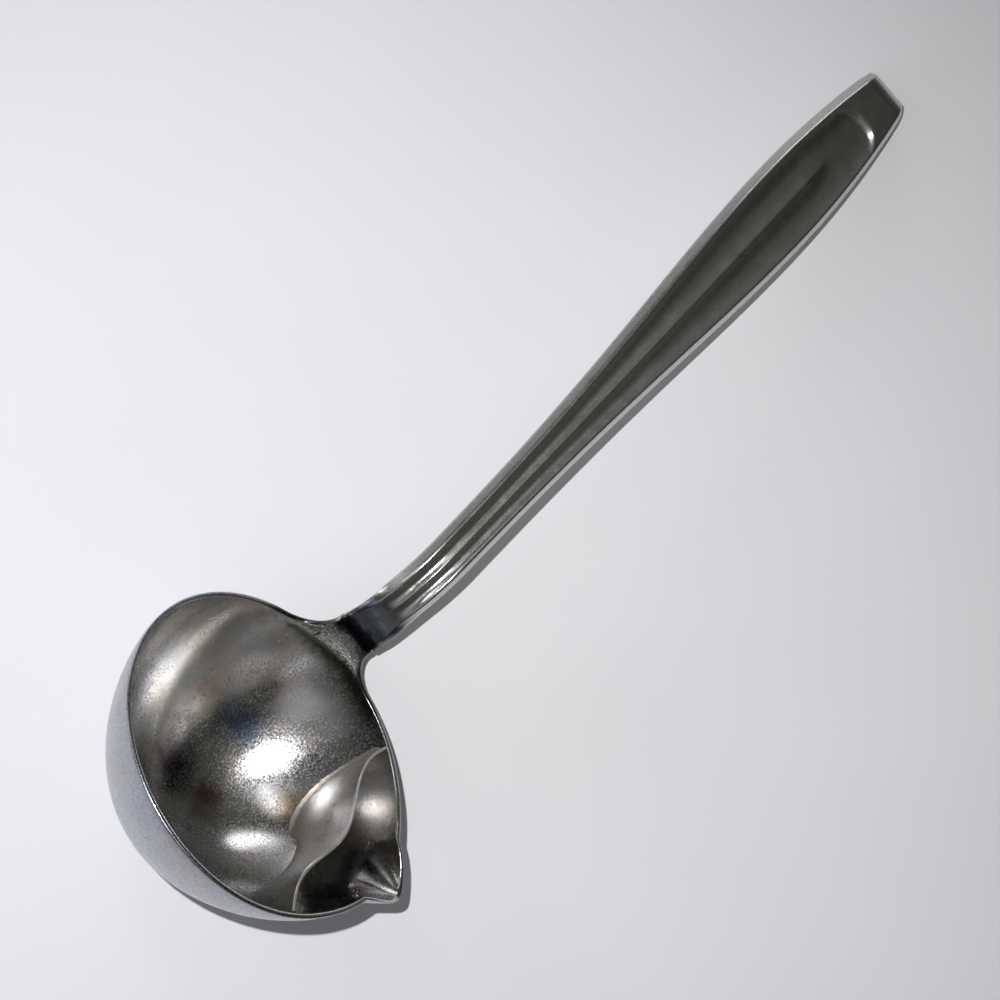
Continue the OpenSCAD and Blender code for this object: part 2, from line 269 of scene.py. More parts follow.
pathEnd = hookEnd + handleShape["hookTip"]
gripAt = hookStart - handleShape["gripBack"]


def advance(place, length, turn):
    # a step along the path, straight or on an arc
    x, z, slope = place
    start = math.radians(slope)
    if turn == 0:
        return (x + length * math.cos(start), z + length * math.sin(start), slope)
    end = math.radians(slope - turn)
    radius = length / math.radians(turn)
    across = radius * (math.sin(start) - math.sin(end))
    up = radius * (math.cos(end) - math.cos(start))
    return (x + across, z + up, slope - turn)


def pathPlace(s):
    place = (innerRadius, bowlShape["neckHeight"] + handleShape["seamHeight"], 90.0)
    for i, (length, turn) in enumerate(pathParts):
        if s <= length or i == len(pathParts) - 1:
            return advance(place, s, turn * s / length)
        place = advance(place, length, turn)
        s -= length


def hookShare(s):
    return ease((s - hookStart) / (hookEnd - hookStart))


def foldAngle(s):
    shape = handleShape
    fold = mix(shape["edgeFold"], shape["flangeFold"], ease(s / shape["foldRun"]))
    if s >= hookStart:
        fold = mix(shape["flangeFold"], shape["tipFold"], hookShare(s))
    return math.radians(fold)


def flankLength(s):
    shape = handleShape
    if s >= hookStart:
        return mix(shape["flangeLength"], shape["edgeLength"], hookShare(s))
    return mix(shape["edgeLength"], shape["flangeLength"], ease(s / shape["foldRun"]))


def halfWidth(s):
    shape = handleShape
    waist, grip, tip = shape["waistWidth"] / 2, shape["gripWidth"] / 2, shape["hookWidth"] / 2
    waistAt = shape["waistAt"]
    if s < waistAt:
        return mix(neckHalf, waist, ease(s / waistAt))
    if s < gripAt:
        share = (s - waistAt) / (gripAt - waistAt)
        return mix(waist, grip, ease(share ** shape["gripGrowth"]))
    return mix(grip, tip, ((s - gripAt) / (pathEnd - gripAt)) ** shape["endTaper"])


def crestHalf(s):
    fold = foldAngle(s)
    foldWidth = handleShape["foldRadius"] * math.sin(fold)
    return halfWidth(s) - foldWidth - flankLength(s) * math.cos(fold)


def fluteStrength(s, u):
    shape = handleShape
    endAt = hookStart - shape["fluteBack"] - shape["fluteArc"] * u ** shape["dishPower"]
    rise = ease((s - shape["fluteAt"]) / shape["fluteRun"])
    return rise * ease((endAt - s) / shape["fluteStep"])


def fluteSink(s, u, half):
    # depth below the crests at the share u of the way out to a side crest
    shape = handleShape
    soft = shape["crestRound"] / half
    away = min(1.0, math.sqrt(u * u + soft * soft))
    edge = clamp((1 - abs(u)) / soft, 0, 1)
    twoFlutes = (1 - (2 * away - 1) ** 2) * (1 - (1 - edge) ** 2)
    oneDish = 1 - u ** shape["dishPower"]
    merge = ease((s - hookStart + shape["fluteMerge"]) / shape["mergeRun"])
    return shape["fluteDepth"] * mix(twoFlutes, oneDish, merge) * fluteStrength(s, u)


def sectionLoop(s, inset):
    # the whole section as (across, height) points; inset shrinks it for the rounded tip
    shape = handleShape
    fold, flank, half = foldAngle(s), flankLength(s), crestHalf(s)
    radius, wall = shape["foldRadius"], shape["wall"]
    # the fold starts at the slope with which a flute comes up to its side crest
    lean = math.atan(4 * shape["fluteDepth"] * fluteStrength(s, 1.0) / half)
    fluteHalf = half - radius * math.tan(lean / 2)
    bends = [mix(-lean, fold, i / shape["foldSteps"]) for i in range(shape["foldSteps"] + 1)]
    ridge = [(half + radius * math.sin(bend), radius * (math.cos(bend) - 1)) for bend in bends]
    foldEnd = Vector(ridge[-1])
    tipOut = foldEnd + flank * Vector((math.cos(fold), -math.sin(fold)))
    tipIn = tipOut - wall * Vector((math.sin(fold), math.cos(fold)))
    under = half - (wall - radius) * math.tan(fold / 2)
    innerCorner = Vector((under, -wall))
    outerEdge = roundedCorner(tipIn, tipOut, foldEnd, shape["edgeRound"], shape["edgeSteps"])
    innerEdge = roundedCorner(innerCorner, tipIn, tipOut, shape["edgeRound"], shape["edgeSteps"])
    steps = shape["flankSteps"]
    outFlank = [outerEdge[-1].lerp(foldEnd, i / steps) for i in range(1, steps)]
    inFlank = [innerCorner.lerp(innerEdge[0], i / steps) for i in range(steps)]
    left = innerEdge + outerEdge + outFlank + [Vector(point) for point in reversed(ridge)]
    crestSide, crestDrop = ridge[0][0], -ridge[0][1]
    steps = shape["crestSteps"]
    crest = []
    for i in range(1, 2 * steps):
        u = 1 - i / steps
        y = crestSide * u
        level = crestDrop * abs(u) ** shape["sidePower"]
        crest.append(Vector((y, -max(fluteSink(s, y / fluteHalf, fluteHalf), level))))
    below = []
    for i in range(2 * steps + 1):
        u = -1 + i / steps
        sink = fluteSink(s, u * shape["underShare"], fluteHalf)
        below.append(Vector((under * u, -wall - sink)))
    right = [Vector((-point.x, point.y)) for point in reversed(left)]
    rightIn = [Vector((-point.x, point.y)) for point in reversed(inFlank)]
    loop = left + crest + right + rightIn[:-1] + below + inFlank[1:]
    if inset:
        count = len(loop)
        moved = []
        for i, point in enumerate(loop):
            along = (loop[(i + 1) % count] - loop[i - 1]).normalized()
            moved.append(point + inset * Vector((-along.y, along.x)))
        loop = moved
    return loop


def placedSection(s, inset=0.0):
    x, z, slope = pathPlace(s)
    lean = math.radians(slope)
    curl = 1 - ease(s / handleShape["foldRun"])
    points = []
    for y, height in sectionLoop(s, inset):
        # near the weld the sheet still has the round of the bowl's wall
        height += curl * (innerRadius - math.sqrt(innerRadius ** 2 - y * y))
        points.append(Vector((x - math.sin(lean) * height, y, z + math.cos(lean) * height)))
    return points


def handleRings():
    shape = handleShape
    edge, steps = shape["edgeRound"], shape["edgeSteps"]
    fine = hookStart - shape["fluteBack"] - shape["fluteArc"] - shape["fluteStep"]
    stations = spread(0, bendEnd, shape["bendRings"])
    stations += spread(bendEnd, fine, shape["gripRings"])
    stations += spread(fine, hookStart, shape["dishRings"])
    stations += spread(hookStart, hookEnd, shape["hookRings"])
    stations += spread(hookEnd, pathEnd - edge, shape["tipRings"])
    rings = [placedSection(s) for s in stations]
    for i in range(steps + 1):
        turn = math.radians(90 * i / steps)
        back, inset = edge * (1 - math.sin(turn)), edge * (1 - math.cos(turn))
        rings.append(placedSection(pathEnd - back, inset))
    return rings


# How the ladle lies: rolled a little to its spout side, and tilted until its hook touches

restRoll = math.radians(4)
leastTilt, mostTilt = math.radians(20), math.radians(80)
hookStations = 10


def upDirection(tilt):
    level = math.cos(restRoll)
    return Vector((-math.sin(tilt) * level, math.sin(restRoll), math.cos(tilt) * level))


def bisected(low, high, isLow, halvings=40):
    # the place between low and high where isLow stops being true
    for _ in range(halvings):
        middle = (low + high) / 2
        if isLow(middle):
            low = middle
        else:
            high = middle
    return low


def lowPoint(up):
    # the point of the bowl's outside that lies lowest when up points to the sky
    outer, depth, power = bowlShape["outerRadius"], bowlShape["depth"], bowlShape["roundness"]
    plan = math.hypot(up.x, up.y)

    def isAbove(share):
        rise = power / 2 * share ** (power - 1)
        return plan * outer * rise / math.sqrt(1 - share ** power) < up.z * depth

    z = -depth * bisected(0, 1 - 1e-9, isAbove)  # just short of the very bottom
    reach = shellRadius(outer, depth, z)
    return Vector((-reach * up.x / plan, -reach * up.y / plan, z))


hookStops = [mix(hookStart, pathEnd, i / hookStations) for i in range(hookStations + 1)]
hookPoints = [point for s in hookStops for point in placedSection(s)]


def hookHangs(tilt):
    up = upDirection(tilt)
    return min(point.dot(up) for point in hookPoints) > lowPoint(up).dot(up)


tilt = bisected(leastTilt, mostTilt, hookHangs)
contact = lowPoint(upDirection(tilt))
layDown = (Matrix.Scale(0.001, 4) @ Matrix.Rotation(restRoll, 4, "X")
           @ Matrix.Rotation(tilt, 4, "Y") @ Matrix.Translation(-contact))
print("the ladle lies at a tilt of %.3f degrees" % math.degrees(tilt))


# Making a piece from columns or rings of points

mergeDistance = 0.000004  # metres, far less than the smallest face


def deselectAll():
    bpy.ops.object.select_all(action="DESELECT")


def shapedGrid(name, columns, openEnds=False, smoothAngle=40):
    # a flat blank of the right number of cells, pressed to the columns' points and closed
    columns = columns + [columns[0]]
    across, along = len(columns) - 1, len(columns[0]) - 1
    deselectAll()
    bpy.ops.mesh.primitive_grid_add(x_subdivisions=across, y_subdivisions=along, size=2)
    piece = bpy.context.object
    piece.name = name
    for vertex in piece.data.vertices:
        i = round((vertex.co.x + 1) / 2 * across)
        k = round((vertex.co.y + 1) / 2 * along)
        vertex.co = layDown @ columns[i][k]
    bpy.ops.object.mode_set(mode="EDIT")
    bpy.ops.mesh.select_all(action="SELECT")
    bpy.ops.mesh.remove_doubles(threshold=mergeDistance)
    if openEnds:
        bpy.ops.mesh.select_all(action="DESELECT")
        bpy.ops.mesh.select_non_manifold()
        bpy.ops.mesh.fill_holes(sides=0)
        bpy.ops.mesh.select_all(action="SELECT")
    bpy.ops.mesh.normals_make_consistent(inside=False)
    bpy.ops.object.mode_set(mode="OBJECT")
    bpy.ops.object.shade_smooth_by_angle(angle=math.radians(smoothAngle))
    return piece


def turnedRings(rings):
    # rings along a sweep become columns round it
    return [[ring[i] for ring in rings] for i in range(len(rings[0]))]


def fitPiece(piece, node, finish):
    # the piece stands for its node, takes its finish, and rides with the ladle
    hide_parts(node)
    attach(piece, "root")
    piece.data.materials.clear()
    piece.data.materials.append(finish)
    print("%s made, %d faces" % (piece.name, len(piece.data.polygons)))


# The divider: a thin plate across the bowl, bent in plan and seated on the bowl's inner wall

dividerShape = {
    "thickness": 0.8,
    "out": 30.0,
    "crown": 4.6,
    "shoulder": 23.0,
    "flare": 2.6,
    "flareRun": 10.0,
    "inset": 0.3,
    "passageWidth": 24.0,
    "passageHeight": 4.6,
    "passageRamp": 5.0,
    "gap": 0.15,  # filled by the brazes
    "endEdge": 1.5,
    "edgeRound": 0.4,
    "edgeCrown": 0.15,
    "edgeSteps": 8,
    "rows": 28,
    "columns": 90,
}
seatRadius = innerRadius - dividerShape["gap"]
seatDepth = innerDepth - dividerShape["gap"]


def dividerLine(x):
    # the plate in plan: crowned to the spout, drawn back at its shoulders and flared at its ends
    shape = dividerShape
    past = abs(x) - shape["shoulder"]
    back = -shape["out"] + shape["crown"]
    if past < 0:
        return -shape["out"] + shape["crown"] * ease(abs(x) / shape["shoulder"])
    return back - shape["flare"] * (1 - math.cos(math.pi / 2 * min(past / shape["flareRun"], 1)))


def dividerNormal(x):
    step = 0.05
    return Vector((dividerLine(x - step) - dividerLine(x + step), 2 * step, 0)).normalized()


def seatHeight(point):
    # height at which a place in plan meets the bowl's inner wall
    share = 1 - (math.hypot(point.x, point.y) / seatRadius) ** 2
    return -seatDepth * max(0.0, share) ** (1 / bowlShape["roundness"])


def facePlan(x, side):
    return Vector((x, dividerLine(x), 0)) + side * dividerShape["thickness"] / 2 * dividerNormal(x)


def plateLow(x, side):
    shape = dividerShape
    within = (shape["passageWidth"] / 2 - abs(x)) / shape["passageRamp"]
    arch = shape["passageHeight"] * ease(within)
    return min(seatHeight(facePlan(x, side)) + arch, -shape["inset"] - shape["endEdge"])


def platePoint(x, side, t):
    point = facePlan(x, side)
    top = -dividerShape["inset"] + dividerShape["edgeCrown"] - dividerShape["edgeRound"]
    point.z = mix(top, plateLow(x, side), t)
    return point


def plateIsTall(x):
    seat = seatHeight(Vector((x, dividerLine(x), 0)))
    return seat < -dividerShape["inset"] - dividerShape["endEdge"]


dividerHalf = bisected(dividerShape["shoulder"], innerRadius, plateIsTall)


def plateRing(x):
    # over the rounded top edge, down the inner face, under, and up the spout's face
    shape = dividerShape
    middle = Vector((x, dividerLine(x), platePoint(x, 1, 0).z))
    across = dividerNormal(x) * shape["thickness"] / 2
    up = Vector((0, 0, shape["edgeRound"]))
    turns = [math.pi * i / shape["edgeSteps"] for i in range(shape["edgeSteps"] + 1)]
    top = [middle - across * math.cos(turn) + up * math.sin(turn) for turn in turns]
    inner = [platePoint(x, 1, i / shape["rows"]) for i in range(1, shape["rows"] + 1)]
    outer = [platePoint(x, -1, i / shape["rows"]) for i in range(shape["rows"], 0, -1)]
    return top + inner + outer


def makeDivider(finish):
    count = dividerShape["columns"]
    places = [dividerHalf * math.sin(math.pi / 2 * i / count) for i in range(-count, count + 1)]
    rings = [plateRing(x) for x in places]
    divider = shapedGrid("dividerPlate", turnedRings(rings), openEnds=True)
    fitPiece(divider, "divider", finish)


# The brazes: fillets of brazing metal in the corner between the divider's inner face and the wall

brazeShape = {
    "leg": 1.4,
    "sink": 0.06,  # the metal has wetted both pieces, so its edges run into them
    "hollow": 0.25,
    "taper": 0.45,
    "taperRun": 0.125,
    "ripple": 0.07,
    "slowWave": 37,
    "fastWave": 91,
    "handShift": 2,  # so that the two brazes don't ripple alike
    "margin": 0.5,
    "end": 0.97,
    "step": 0.005,
    "filletSteps": 8,
    "rings": 90,
}


def seatNormal(point):
    power = bowlShape["roundness"]
    rise = power / 2 * (-point.z / seatDepth) ** (power - 1) * seatRadius ** 2 / seatDepth
    return Vector((-point.x, -point.y, rise)).normalized()


def brazeRing(t, hand, strength):
    shape = brazeShape
    seat = []
    for move in (-shape["step"], 0, shape["step"]):
        x = hand * dividerHalf * math.sin(math.pi / 2 * (t + move))
        seat.append(platePoint(x, 1, 1))
    plateNormal = dividerNormal(seat[1].x)
    wallNormal = seatNormal(seat[1])
    up = (hand * (seat[2] - seat[0]).cross(plateNormal)).normalized()
    out = (plateNormal - plateNormal.dot(wallNormal) * wallNormal).normalized()
    leg = shape["leg"] * strength
    root = seat[1] - shape["sink"] * (plateNormal + wallNormal)
    high, low = root + leg * up, root + leg * out
    hollow = root + shape["hollow"] * leg * (up + out)
    ring = [root]
    for i in range(shape["filletSteps"] + 1):
        share = i / shape["filletSteps"]
        ring.append(high * (1 - share) ** 2 + hollow * 2 * share * (1 - share) + low * share ** 2)
    return ring


def makeBraze(name, node, hand, finish):
    shape = brazeShape
    passageEdge = dividerShape["passageWidth"] / 2 + shape["margin"]
    start = math.asin(passageEdge / dividerHalf) * 2 / math.pi
    rings = []
    for i in range(shape["rings"] + 1):
        t = i / shape["rings"]
        fromEnd = min(1, t / shape["taperRun"], (1 - t) / shape["taperRun"])
        swell = mix(shape["taper"], 1, fromEnd ** 0.5)
        wave = math.sin(shape["slowWave"] * t + shape["handShift"] * hand)
        ripple = 1 - shape["ripple"] * (1 + wave * math.sin(shape["fastWave"] * t))
        rings.append(brazeRing(mix(start, shape["end"], t), hand, swell * ripple))
    braze = shapedGrid(name, turnedRings(rings), openEnds=True)
    fitPiece(braze, node, finish)


# The weld seam between the bowl's neck and the handle

weldShape = {
    "height": 0.8,
    "crown": 0.1,
    "edgeRound": 0.35,
    "edgeSteps": 4,
    "rings": 12,
    "sideSteps": 24,
}


def weldRing(t):
    shape = weldShape
    crown = shape["crown"] * math.sin(math.pi * t)
    height = bowlShape["neckHeight"] + shape["height"] * t
    half, outer = neckHalf + crown, bowlShape["outerRadius"]
    sides = [mix(-half, half, i / shape["sideSteps"]) for i in range(shape["sideSteps"] + 1)]
    outerFace = [Vector((math.sqrt(outer ** 2 - y * y) + crown, y, height)) for y in sides]
    innerFace = [Vector((math.sqrt(innerRadius ** 2 - y * y) - crown, y, height))
                 for y in reversed(sides)]
    corners = ((outerFace[-2], outerFace[-1], innerFace[0]),
               (outerFace[-1], innerFace[0], innerFace[1]),
               (innerFace[-2], innerFace[-1], outerFace[0]),
               (innerFace[-1], outerFace[0], outerFace[1]))
    rounds = [roundedCorner(*corner, shape["edgeRound"], shape["edgeSteps"]) for corner in corners]
    return outerFace[1:-1] + rounds[0] + rounds[1] + innerFace[1:-1] + rounds[2] + rounds[3]


def makeWeld(finish):
    rings = [weldRing(i / weldShape["rings"]) for i in range(weldShape["rings"] + 1)]
    weld = shapedGrid("neckSeam", turnedRings(rings), openEnds=True)
    fitPiece(weld, "neck_weld", finish)


def makeBowl(finish):
    bowl = shapedGrid("pressedBowl", [wallColumn(turn) for turn in wallTurns()])
    # the attribute outside is 1 on the outer wall and 0 on the inner one, for the finish
    toBowl = layDown.inverted()
    outside = bowl.data.attributes.new("outside", "FLOAT", "POINT")
    for vertex in bowl.data.vertices:
        facing = toBowl.to_3x3() @ vertex.normal
        outside.data[vertex.index].value = 1.0 if facing.dot(toBowl @ vertex.co) > 0 else 0.0
    fitPiece(bowl, "bowl", finish)


def makeHandle(finish):
    handle = shapedGrid("flutedHandle", turnedRings(handleRings()), openEnds=True)
    fitPiece(handle, "handle", finish)


# Finishes

def linearColour(hexText):
    parts = [int(hexText[i:i + 2], 16) / 255 for i in (1, 3, 5)]
    linear = [p / 12.92 if p <= 0.04045 else ((p + 0.055) / 1.055) ** 2.4 for p in parts]
    return tuple(linear) + (1.0,)


def addNode(tree, kind, settings=None, values=None, links=None):
    node = tree.nodes.new(kind)
    for name, value in (settings or {}).items():
        setattr(node, name, value)
    for socket, value in (values or {}).items():
        node.inputs[socket].default_value = value
    for socket, source in (links or {}).items():
        tree.links.new(source, node.inputs[socket])
    return node


def blankFinish(name):
    material = bpy.data.materials.new(name)
    material.use_nodes = True
    tree = material.node_tree
    tree.nodes.clear()
    shader = addNode(tree, "ShaderNodeBsdfPrincipled")
    addNode(tree, "ShaderNodeOutputMaterial", links={"Surface": shader.outputs[0]})
    return material, tree, shader


def bowlPlace(tree, turn=0.0):
    # Object coordinates turned back into the bowl's frame, in millimetres; turn also tips them
    # about the Y axis, so that X can follow the handle
    back = Matrix.Rotation(math.radians(turn), 4, "Y") @ layDown.inverted()
    place, rotation, scale = back.decompose()
    coordinate = addNode(tree, "ShaderNodeTexCoord")
    mapped = addNode(
        tree, "ShaderNodeMapping",
        values={"Location": place, "Rotation": rotation.to_euler("XYZ"), "Scale": scale},
        links={"Vector": coordinate.outputs["Object"]})
    return mapped.outputs["Vector"]


# bands round the weld, from the bowl's wall up to the flutes: two grey stains, and a near-black
# band of painted dark reflection where the sheet starts to bend; the heights above the rim at which
# a band starts, is full, fades and ends, and how far it reaches to each side
neckStainsAndDarkReflection = [
    {"tone": "#555652", "heights": (-7.0, -1.0, 8.0, 11.0), "half": 24.0, "soft": 6.0},
    {"tone": "#565b60", "heights": (8.0, 11.0, 20.0, 31.0), "half": 5.8, "soft": 0.6},
    # near black: a painted dark reflection where the sheet starts to bend
    {"tone": "#0b0e13", "heights": (6.5, 9.0, 12.5, 15.0), "half": 6.3, "soft": 0.6},
]
neckBandFrom = (28.0, 33.0)  # distances from the bowl's axis where they start and are full
neckBandEdge = {"size": 2.5, "reach": 5.0}
bowlPatchEdge = {"size": 5.0, "reach": 9.0}


def raggedPlace(tree, place, edge):
    # the place moved about by a noise, so that a band or patch gets an uneven edge
    noise = addNode(tree, "ShaderNodeTexNoise", values={"Scale": 1 / edge["size"], "Detail": 5},
                    links={"Vector": place})
    centred = addNode(tree, "ShaderNodeVectorMath", {"operation": "SUBTRACT"},
                      {1: (0.5, 0.5, 0.5)}, {0: noise.outputs["Color"]})
    moved = addNode(tree, "ShaderNodeVectorMath", {"operation": "MULTIPLY_ADD"},
                    {1: (edge["reach"],) * 3}, {0: centred.outputs[0], 2: place})
    return moved.outputs[0]


def paintNeckStainsAndReflection(tree, tone, bands):
    # heat and dirt left round the weld, and a painted dark reflection just above it
    place = bowlPlace(tree)
    exact = addNode(tree, "ShaderNodeSeparateXYZ", links={0: place})
    ragged = addNode(tree, "ShaderNodeSeparateXYZ", links={0: raggedPlace(tree, place, neckBandEdge)})
    side = addNode(tree, "ShaderNodeMath", {"operation": "ABSOLUTE"}, links={0: exact.outputs["Y"]})
    for band in bands:
        start, full, ebb, end = band["heights"]
        edges = ((ragged.outputs["Z"], start, full), (ragged.outputs["Z"], end, ebb),
                 (exact.outputs["X"], *neckBandFrom),
                 (side.outputs[0], band["half"], band["half"] - band["soft"]))
        share = None
        for source, low, high in edges:
            step = addNode(tree, "ShaderNodeMapRange", {"interpolation_type": "SMOOTHSTEP"},
                           {"From Min": low, "From Max": high, "To Min": 0, "To Max": 1},
                           {"Value": source})
            if share:
                step = addNode(tree, "ShaderNodeMath", {"operation": "MULTIPLY"},
                               links={0: share, 1: step.outputs[0]})
            share = step.outputs[0]
        tone = addNode(tree, "ShaderNodeMix", {"data_type": "RGBA"},
                       {7: linearColour(band["tone"])}, {0: share, 6: tone}).outputs[2]
    return tone


def tinted(tree, place, tone, tintsAndDarkReflections):
    # coloured patches, each round one place in the bowl; the dark grey and near-black ones are
    # painted dark reflections of the room, the darkest on the spout's faces
    place = raggedPlace(tree, place, bowlPatchEdge)
    for tint in tintsAndDarkReflections:
        away = addNode(tree, "ShaderNodeVectorMath", {"operation": "DISTANCE"},
                       {1: tint["place"]}, {0: place})
        share = addNode(tree, "ShaderNodeMapRange", {"interpolation_type": "SMOOTHSTEP"},
                        {"From Min": tint["radius"], "From Max": 0,
                         "To Min": 0, "To Max": tint["share"]}, {"Value": away.outputs["Value"]})
        tone = addNode(tree, "ShaderNodeMix", {"data_type": "RGBA"},
                       {7: linearColour(tint["tone"])},
                       {0: share.outputs[0], 6: tone}).outputs[2]
    return tone


# where each pattern starts and is full, between the darkest and the lightest of its noise
noiseBands = {
    "warm": (0.42, 0.72),
    "cool": (0.55, 0.28),
    "patch": (0.5, 0.68),
    "mottle": (0.45, 0.7),
    "cloud": (0.3, 0.7),
    "frost": (0.36, 0.7),
}
pitFloor = 0.3  # share of a pit's radius that is at its full depth


def wornSteel(name, look, turn=0.0):
    # Pressed steel sheet, polished when new and dulled by years of use: a neutral metal with a
    # faint warm and cool film, soft waves from the press, small pits and fine scratches. Its
    # roughness is a cloud plus a fine frost, so a sharp reflection lies on a broad one.
    material, tree, shader = blankFinish(name)
    place = bowlPlace(tree, turn)
    bands = noiseBands
    film = addNode(tree, "ShaderNodeTexNoise",
                   values={"Scale": 1 / look["filmSize"], "Detail": 3, "Roughness": 0.55},
                   links={"Vector": place})
    warmShare = addNode(tree, "ShaderNodeMapRange",
                        values={"From Min": bands["warm"][0], "From Max": bands["warm"][1],
                                "To Min": 0, "To Max": look["filmShare"]},
                        links={"Value": film.outputs["Fac"]})
    coolShare = addNode(tree, "ShaderNodeMapRange",
                        values={"From Min": bands["cool"][0], "From Max": bands["cool"][1],
                                "To Min": 0, "To Max": look["filmShare"]},
                        links={"Value": film.outputs["Fac"]})
    warm = addNode(tree, "ShaderNodeMix", {"data_type": "RGBA"},
                   {6: linearColour(look["tone"]), 7: linearColour(look["warm"])},
                   {0: warmShare.outputs[0]})
    toned = addNode(tree, "ShaderNodeMix", {"data_type": "RGBA"},
                    {7: linearColour(look["cool"])},
                    {0: coolShare.outputs[0], 6: warm.outputs[2]})

    # grime sits in the pits, where they lie close together
    pits = addNode(tree, "ShaderNodeTexVoronoi",
                   values={"Scale": 1 / look["pitSpacing"], "Randomness": 1.0},
                   links={"Vector": place})
    pitMask = addNode(tree, "ShaderNodeMapRange", {"interpolation_type": "SMOOTHSTEP"},
                      {"From Min": look["pitSize"], "From Max": look["pitSize"] * pitFloor,
                       "To Min": 0, "To Max": 1}, {"Value": pits.outputs["Distance"]})
    patch = addNode(tree, "ShaderNodeTexNoise",
                    values={"Scale": 1 / look["patchSize"], "Detail": 2}, links={"Vector": place})
    patchMask = addNode(tree, "ShaderNodeMapRange",
                        values={"From Min": bands["patch"][0], "From Max": bands["patch"][1],
                                "To Min": 0, "To Max": 1},
                        links={"Value": patch.outputs["Fac"]})
    pitShare = addNode(tree, "ShaderNodeMath", {"operation": "MULTIPLY"},
                       links={0: pitMask.outputs[0], 1: patchMask.outputs[0]})
    dirty = addNode(tree, "ShaderNodeMix", {"data_type": "RGBA"},
                    {7: linearColour(look["grime"])},
                    {0: pitShare.outputs[0], 6: toned.outputs[2]})
    tone = dirty.outputs[2]

    outerWall = look.get("outerWall")
    if outerWall:
        # the coloured patches and painted dark reflections lie on the inside only
        outside = addNode(tree, "ShaderNodeAttribute", {"attribute_name": "outside"})
        inside = tinted(tree, place, tone, look["tintsAndDarkReflections"])
        tone = addNode(tree, "ShaderNodeMix", {"data_type": "RGBA"},
                       links={0: outside.outputs["Fac"], 6: inside, 7: tone}).outputs[2]
    grain = addNode(tree, "ShaderNodeTexNoise",
                    values={"Scale": 1 / look["grainSize"], "Detail": 4, "Roughness": 0.65},
                    links={"Vector": place})
    mottle = addNode(tree, "ShaderNodeMapRange",
                     values={"From Min": bands["mottle"][0], "From Max": bands["mottle"][1],
                             "To Min": 0, "To Max": look["mottle"]},
                     links={"Value": grain.outputs["Fac"]})
    tone = addNode(tree, "ShaderNodeMix", {"data_type": "RGBA"},
                   {7: linearColour(look["grime"])},
                   {0: mottle.outputs[0], 6: tone}).outputs[2]
    if outerWall:
        tone = addNode(tree, "ShaderNodeMix", {"data_type": "RGBA", "blend_type": "MULTIPLY"},
                       {7: linearColour(outerWall["tone"])},
                       {0: outside.outputs["Fac"], 6: tone}).outputs[2]
    # the neck's bands: grey stains, and a near-black painted dark reflection just above the weld
    if "stainsAndDarkReflection" in look:
        tone = paintNeckStainsAndReflection(tree, tone, look["stainsAndDarkReflection"])
    tree.links.new(tone, shader.inputs["Base Color"])
    shader.inputs["Metallic"].default_value = look["metal"]

    cloud = addNode(tree, "ShaderNodeTexNoise",
                    values={"Scale": 1 / look["cloudSize"], "Detail": 5, "Roughness": 0.6},
                    links={"Vector": place})
    dull = addNode(tree, "ShaderNodeMapRange",
                   values={"From Min": bands["cloud"][0], "From Max": bands["cloud"][1],
                           "To Min": look["roughLow"], "To Max": look["roughHigh"]},
                   links={"Value": cloud.outputs["Fac"]})
    frost = addNode(tree, "ShaderNodeMapRange",
                    values={"From Min": bands["frost"][0], "From Max": bands["frost"][1],
                            "To Min": 0, "To Max": look["frost"]},
                    links={"Value": grain.outputs["Fac"]})
    wear = addNode(tree, "ShaderNodeMath", {"operation": "ADD"},
                   links={0: dull.outputs[0], 1: frost.outputs[0]})
    if outerWall:
        wear = addNode(tree, "ShaderNodeMath", {"operation": "MULTIPLY_ADD"},
                       {1: outerWall["rough"]}, {0: outside.outputs["Fac"], 2: wear.outputs[0]})
    tree.links.new(wear.outputs[0], shader.inputs["Roughness"])

    stretched = addNode(tree, "ShaderNodeMapping", values={"Scale": look["scratchStretch"]},
                        links={"Vector": place})
    scratches = addNode(tree, "ShaderNodeTexNoise",
                        values={"Scale": 1 / look["scratchWidth"], "Detail": 4},
                        links={"Vector": stretched.outputs[0]})
    waves = addNode(tree, "ShaderNodeTexNoise",
                    values={"Scale": 1 / look["waveSize"], "Detail": 1}, links={"Vector": place})
    reliefs = ((waves.outputs["Fac"], look["waveDepth"]),
               (grain.outputs["Fac"], look["grainDepth"]),
               (scratches.outputs["Fac"], look["scratchDepth"]),
               (pitShare.outputs[0], -look["pitDepth"]))
    relief = None
    for height, depth in reliefs:
        values = {"Strength": 1.0, "Distance": abs(depth) / 1000}
        links = {"Height": height}
        if relief:
            links["Normal"] = relief.outputs[0]
        relief = addNode(tree, "ShaderNodeBump", {"invert": depth < 0}, values, links)
    tree.links.new(relief.outputs[0], shader.inputs["Normal"])
    return material
